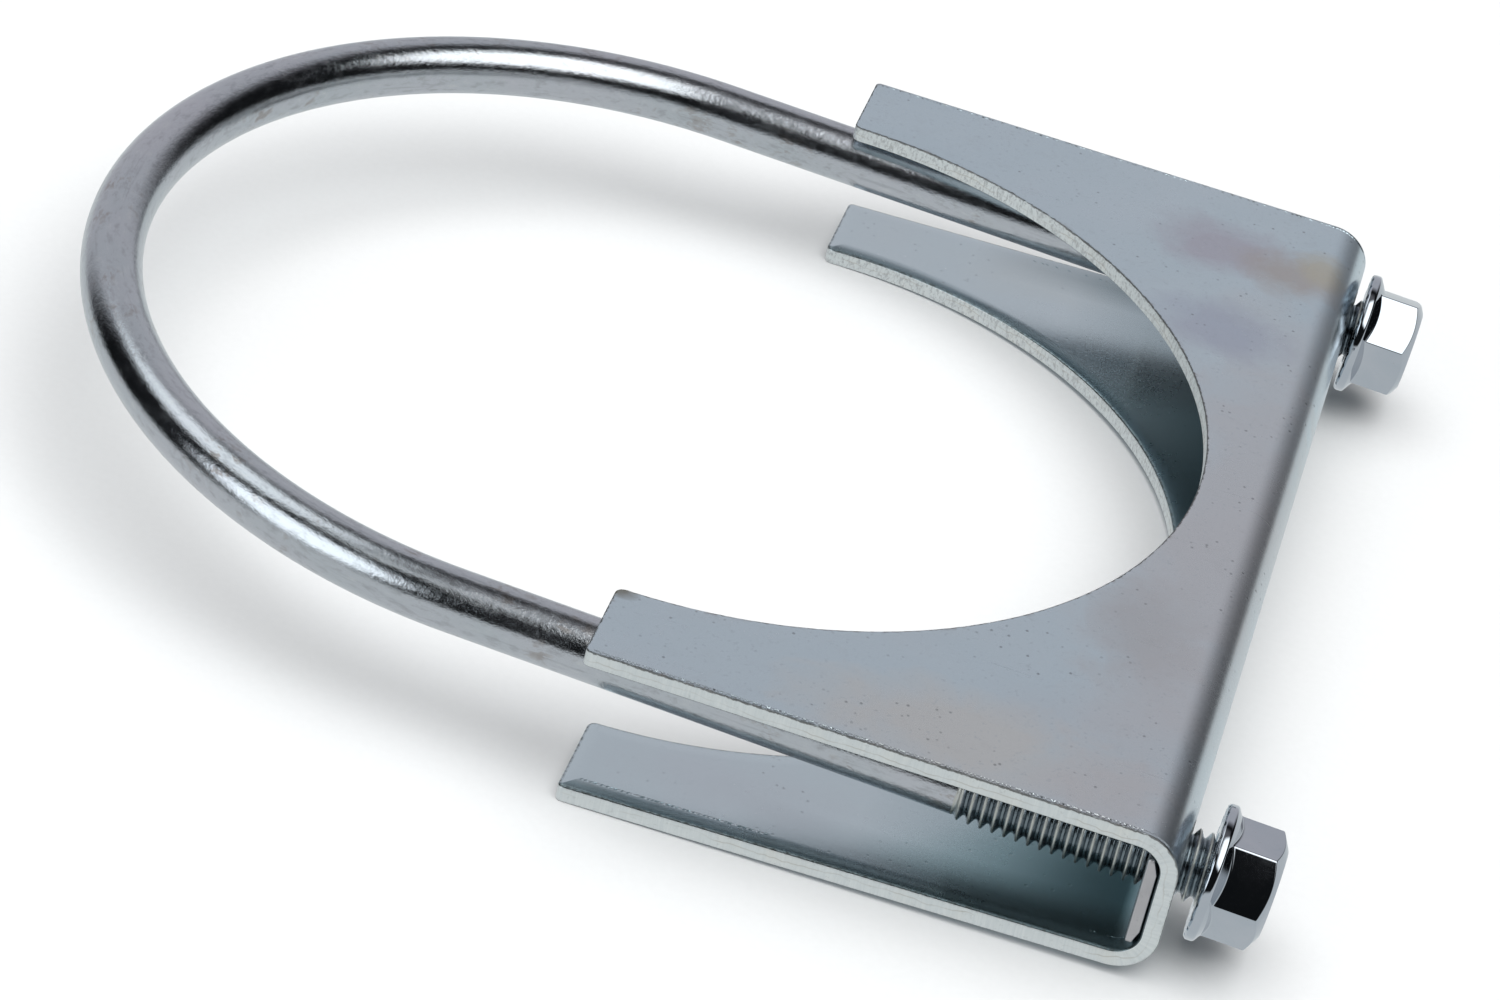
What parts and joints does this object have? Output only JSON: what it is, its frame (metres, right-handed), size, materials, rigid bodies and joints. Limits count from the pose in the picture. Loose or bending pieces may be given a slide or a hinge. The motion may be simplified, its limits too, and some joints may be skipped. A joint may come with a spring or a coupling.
{
  "type": "u-bolt pipe clamp",
  "caption": "Exhaust saddle clamp: a folded steel saddle cradles a pipe, and a U-bolt with flange nuts draws it tight.",
  "frame": {"origin": "centre of the pipe seat, at the saddle's mid height", "axes": "+X along the bolt's legs towards the nuts, +Y from the near leg to the far leg, +Z along the pipe's axis"},
  "size_m": [0.1825, 0.158, 0.0254],
  "materials": {
    "saddle_zinc": "satin zinc plate with a faint bluish chromate",
    "strap_zinc": "satin zinc plate",
    "bolt_zinc": "glossy zinc plate over drawn rod",
    "nut_zinc": "bright zinc plate"
  },
  "bodies": {
    "saddle": {"saddle": "saddle_zinc", "backing_strap": "strap_zinc"},
    "bolt": {"u_bolt": "bolt_zinc"},
    "near_nut": {"nut_near": "nut_zinc"},
    "far_nut": {"nut_far": "nut_zinc"}
  },
  "joints": [
    {"name": "near_nut_turn", "type": "hinge", "parent": "saddle", "child": "near_nut", "pos_m": [0.08004, -0.0685, 0.00014], "axis": [-0.9986, 0, 0.0532], "range_deg": [-720, 5040]},
    {"name": "far_nut_turn", "type": "hinge", "parent": "saddle", "child": "far_nut", "pos_m": [0.07812, 0.0685, 0.00025], "axis": [-0.9986, 0, 0.0532], "range_deg": [-720, 5040]},
    {"name": "bolt_draw", "type": "slide", "parent": "saddle", "child": "bolt", "axis": [0.9986, 0, -0.0532], "range_m": [-0.00317, 0.02222]}
  ],
  "couplings": [
    {"joint": "near_nut_turn", "follows": "bolt_draw", "rad_per_m": 3957.9},
    {"joint": "far_nut_turn", "follows": "bolt_draw", "rad_per_m": 3957.9}
  ]
}
